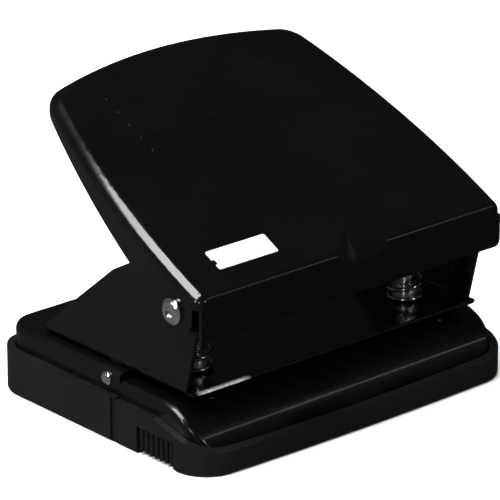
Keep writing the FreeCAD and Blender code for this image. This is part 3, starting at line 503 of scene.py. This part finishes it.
class PUNCH_OT_label(bpy.types.Operator):
    """Model the blank label: rounded corners and a round nick in its left edge"""
    bl_idname = "punch.label"
    bl_label = "Label"

    def execute(self, context):
        sizes = context.scene.punch_label
        low, high = (Vector(corner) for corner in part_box("label"))
        span = high - low
        slope = math.atan2(span.z, span.y)
        width = math.hypot(span.y, span.z)
        nothing_selected()
        bpy.ops.mesh.primitive_plane_add(size=1.0)
        label = context.object
        label.name = "blank_label"
        label.scale = (span.x, width, 1.0)
        settle(label)
        bpy.ops.object.mode_set(mode="EDIT")
        bpy.ops.mesh.select_all(action="SELECT")
        bpy.ops.mesh.bevel(offset=sizes.corner, segments=CORNER_STEPS, affect="VERTICES")
        bpy.ops.object.mode_set(mode="OBJECT")
        sheet = label.modifiers.new("stock", "SOLIDIFY")
        sheet.thickness = sizes.thick
        sheet.offset = 0.0
        bpy.ops.object.modifier_apply(modifier=sheet.name)
        self.cut_nick(context, label, Vector((-span.x / 2, -sizes.nick_offset, 0.0)), sizes.nick)
        label.location = (low + high) / 2
        label.rotation_euler = (slope, 0.0, 0.0)
        settle(label)
        colour = context.scene.punch_colours.label
        wear(label, sticker("label_stock", colour, roughness=0.32))
        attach(label, "lever")
        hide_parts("label")
        return {"FINISHED"}

    def cut_nick(self, context, label, place, radius):
        nothing_selected()
        bpy.ops.mesh.primitive_cylinder_add(vertices=NICK_STEPS, radius=radius, depth=radius,
                                            location=place)
        cutter = context.object
        only(label)
        nick = label.modifiers.new("nick", "BOOLEAN")
        nick.operation = "DIFFERENCE"
        nick.solver = "EXACT"
        nick.object = cutter
        bpy.ops.object.modifier_apply(modifier=nick.name)
        bpy.data.objects.remove(cutter)
        only(label)


# ---------------------------------------------------------------- studio
def softbox(name, direction, distance, width, height, watts, aim):
    """An area light that faces the punch."""
    light = bpy.data.lights.new(name, "AREA")
    light.shape = "RECTANGLE"
    light.size = width
    light.size_y = height
    light.energy = watts
    lamp = bpy.data.objects.new(name, light)
    bpy.context.scene.collection.objects.link(lamp)
    lamp.location = aim + Vector(direction).normalized() * distance
    lamp.rotation_euler = (aim - lamp.location).to_track_quat("-Z", "Y").to_euler()
    return lamp


class PUNCH_OT_studio(bpy.types.Operator):
    """Set the floor, the lights and the camera"""
    bl_idname = "punch.studio"
    bl_label = "Studio"

    def execute(self, context):
        studio = context.scene.punch_studio
        aim = Vector(studio.aim)
        nothing_selected()
        bpy.ops.mesh.primitive_plane_add(size=studio.floor)
        floor = context.object
        floor.name = "studio_floor"
        colour = context.scene.punch_colours.floor
        finish = Finish("studio_paper", colour, roughness=0.9, Specular_IOR_Level=0.1)
        finish.relief(finish.bump(finish.noise(scale=300.0), depth=0.02, distance=0.0005))
        wear(floor, finish.material)
        lamps = {name: softbox(name, direction, distance, width, height, getattr(studio, watts), aim)
                 for name, direction, distance, width, height, watts in LAMPS}
        for unseen in (lamps["flood"], floor):
            unseen.visible_glossy = False
        self.set_air(context, studio)
        self.set_camera(context, studio, aim)
        return {"FINISHED"}

    def set_air(self, context, studio):
        """White to look at; in reflections dark, and paler towards the lower left."""
        world = context.scene.world or bpy.data.worlds.new("studio_air")
        context.scene.world = world
        world.use_nodes = True
        nodes, links = world.node_tree.nodes, world.node_tree.links
        nodes.clear()
        place = nodes.new("ShaderNodeTexCoord")
        towards = nodes.new("ShaderNodeVectorMath")
        towards.operation = "DOT_PRODUCT"
        towards.inputs[1].default_value = PALE_SIDE
        links.new(place.outputs["Generated"], towards.inputs[0])
        reflected = nodes.new("ShaderNodeMapRange")
        for socket, value in (("From Min", PALE_START), ("From Max", PALE_END),
                              ("To Min", studio.air_dark), ("To Max", studio.air_pale)):
            reflected.inputs[socket].default_value = value
        links.new(towards.outputs["Value"], reflected.inputs["Value"])
        seen = nodes.new("ShaderNodeLightPath")
        strength = nodes.new("ShaderNodeMix")
        links.new(seen.outputs["Is Camera Ray"], strength.inputs["Factor"])
        links.new(reflected.outputs["Result"], strength.inputs[NUMBER_A])
        strength.inputs[NUMBER_B].default_value = 1.0
        background = nodes.new("ShaderNodeBackground")
        links.new(strength.outputs[NUMBER_OUT], background.inputs["Strength"])
        output = nodes.new("ShaderNodeOutputWorld")
        links.new(background.outputs["Background"], output.inputs["Surface"])
        background.inputs["Color"].default_value = (1.0, 1.0, 1.0, 1.0)

    def set_camera(self, context, studio, aim):
        turn = math.radians(studio.turn)
        height = math.radians(studio.height)
        away = Vector((math.sin(turn) * math.cos(height), -math.cos(turn) * math.cos(height),
                       math.sin(height)))
        lens = bpy.data.cameras.new("studio_camera")
        lens.lens = studio.lens
        lens.sensor_width = SENSOR_WIDTH
        camera = bpy.data.objects.new("studio_camera", lens)
        context.scene.collection.objects.link(camera)
        camera.location = aim + away * studio.distance
        camera.rotation_euler = (-away).to_track_quat("-Z", "Y").to_euler()
        context.scene.camera = camera
        context.scene.view_settings.view_transform = "Standard"


# ---------------------------------------------------------------- panel and running
STEPS = (PUNCH_OT_steelwork, PUNCH_OT_plastics, PUNCH_OT_metals, PUNCH_OT_label, PUNCH_OT_springs,
         PUNCH_OT_studio)
SETTINGS = (("punch_springs", SpringSizes), ("punch_label", LabelSizes), ("punch_edge", HighlightEdgeSizes),
            ("punch_studio", StudioSizes), ("punch_colours", PunchColours))


class PUNCH_PT_panel(bpy.types.Panel):
    """Lists the steps in the order they run"""
    bl_label = "Desk punch"
    bl_idname = "PUNCH_PT_panel"
    bl_space_type = "VIEW_3D"
    bl_region_type = "UI"
    bl_category = "Punch"

    def draw(self, context):
        for step in STEPS:
            self.layout.operator(step.bl_idname)


def register():
    for name, group in SETTINGS:
        bpy.utils.register_class(group)
        setattr(bpy.types.Scene, name, PointerProperty(type=group))
    for step in STEPS:
        bpy.utils.register_class(step)
    bpy.utils.register_class(PUNCH_PT_panel)


def unregister():
    bpy.utils.unregister_class(PUNCH_PT_panel)
    for step in reversed(STEPS):
        bpy.utils.unregister_class(step)
    for name, group in reversed(SETTINGS):
        delattr(bpy.types.Scene, name)
        bpy.utils.unregister_class(group)


def main():
    register()
    bpy.ops.punch.steelwork()
    bpy.ops.punch.plastics()
    bpy.ops.punch.metals()
    bpy.ops.punch.label()
    bpy.ops.punch.springs()
    bpy.ops.punch.studio()


if __name__ == "__main__":
    main()
